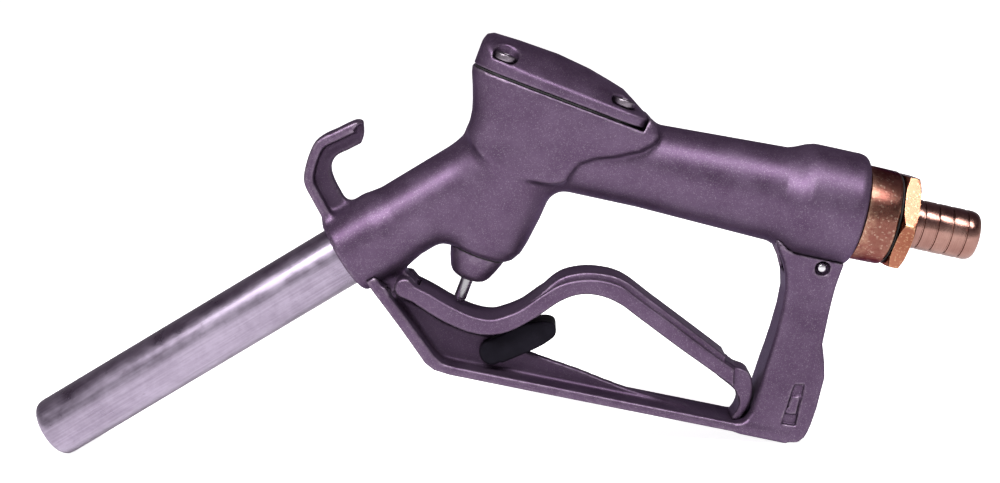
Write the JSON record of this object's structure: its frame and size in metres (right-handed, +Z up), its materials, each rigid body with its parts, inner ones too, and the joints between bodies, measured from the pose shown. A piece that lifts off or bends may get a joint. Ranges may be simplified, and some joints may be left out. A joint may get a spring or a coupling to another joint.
{
  "type": "manual fuel nozzle",
  "caption": "Hand-held manual fuel nozzle: cast body with angled bare spout, hanging hook, trigger guard with lever and hold-open latch, bolted valve cap, brass swivel and hose tail.",
  "frame": {"origin": "bottom centre of the bounding box, on the centre plane, under the middle of the length", "axes": "+X towards the hose end, +Z up, +Y to the far side; the nozzle is symmetric about the XZ plane and stands on its spout tip and guard heel"},
  "size_m": [0.3836, 0.0454, 0.167],
  "materials": {
    "cast": "dark satin die-cast",
    "bare": "bare drawn tube",
    "brass": "cast and turned",
    "turned_brass": "turned bright",
    "steel": "ground",
    "zinc": "zinc plated",
    "rubber": "matt",
    "black_steel": "black satin"
  },
  "bodies": {
    "nozzle": {"cap_gasket": "rubber", "cap_screw_1": "zinc", "cap_screw_2": "zinc", "cap_screw_3": "zinc", "cap_screw_4": "zinc", "gland_gasket": "rubber", "guard_front_pin": "steel", "guard_rear_pin": "steel", "latch_pin": "steel", "main_spring": "steel", "nozzle_body": "cast", "packing_gland": "cast", "spout_o_ring": "rubber", "spout_tube": "bare", "stem_o_ring": "rubber", "swivel_dust_seal": "rubber", "swivel_sleeve": "brass", "trigger_guard": "cast", "trigger_pivot_pin": "steel", "valve_cap": "cast", "valve_seat": "brass"},
    "trigger": {"trigger_lever": "cast"},
    "latch": {"hold_open_latch": "black_steel"},
    "valve": {"valve_stem": "steel", "valve_poppet": "brass", "poppet_seal": "rubber"},
    "swivel": {"swivel_hex": "brass", "hose_tail": "turned_brass", "swivel_ring": "steel", "swivel_o_ring": "rubber"}
  },
  "joints": [
    {"name": "trigger_squeeze", "type": "hinge", "parent": "nozzle", "child": "trigger", "pos_m": [-0.03713, 0, 0.06795], "axis": [0, -1, 0], "range_deg": [0, 20], "stiffness_Nm_per_rad": 4, "springref_deg": -8.59},
    {"name": "valve_lift", "type": "slide", "parent": "nozzle", "child": "valve", "axis": [0.3823, 0, 0.924], "range_m": [0, 0.0082], "deforming": ["main_spring"]},
    {"name": "latch_swing", "type": "hinge", "parent": "nozzle", "child": "latch", "pos_m": [-0.00346, 0, 0.03975], "axis": [0, -1, 0], "range_deg": [0, 31]},
    {"name": "hose_swivel", "type": "hinge", "parent": "nozzle", "child": "swivel", "pos_m": [0.13919, 0, 0.09297], "axis": [0.9702, 0, -0.2423], "continuous": true}
  ],
  "couplings": [
    {"joint": "valve_lift", "follows": "trigger_squeeze", "m_per_rad": 0.0229},
    {"joint": "latch_swing", "follows": "trigger_squeeze", "ratio": 1.5}
  ]
}
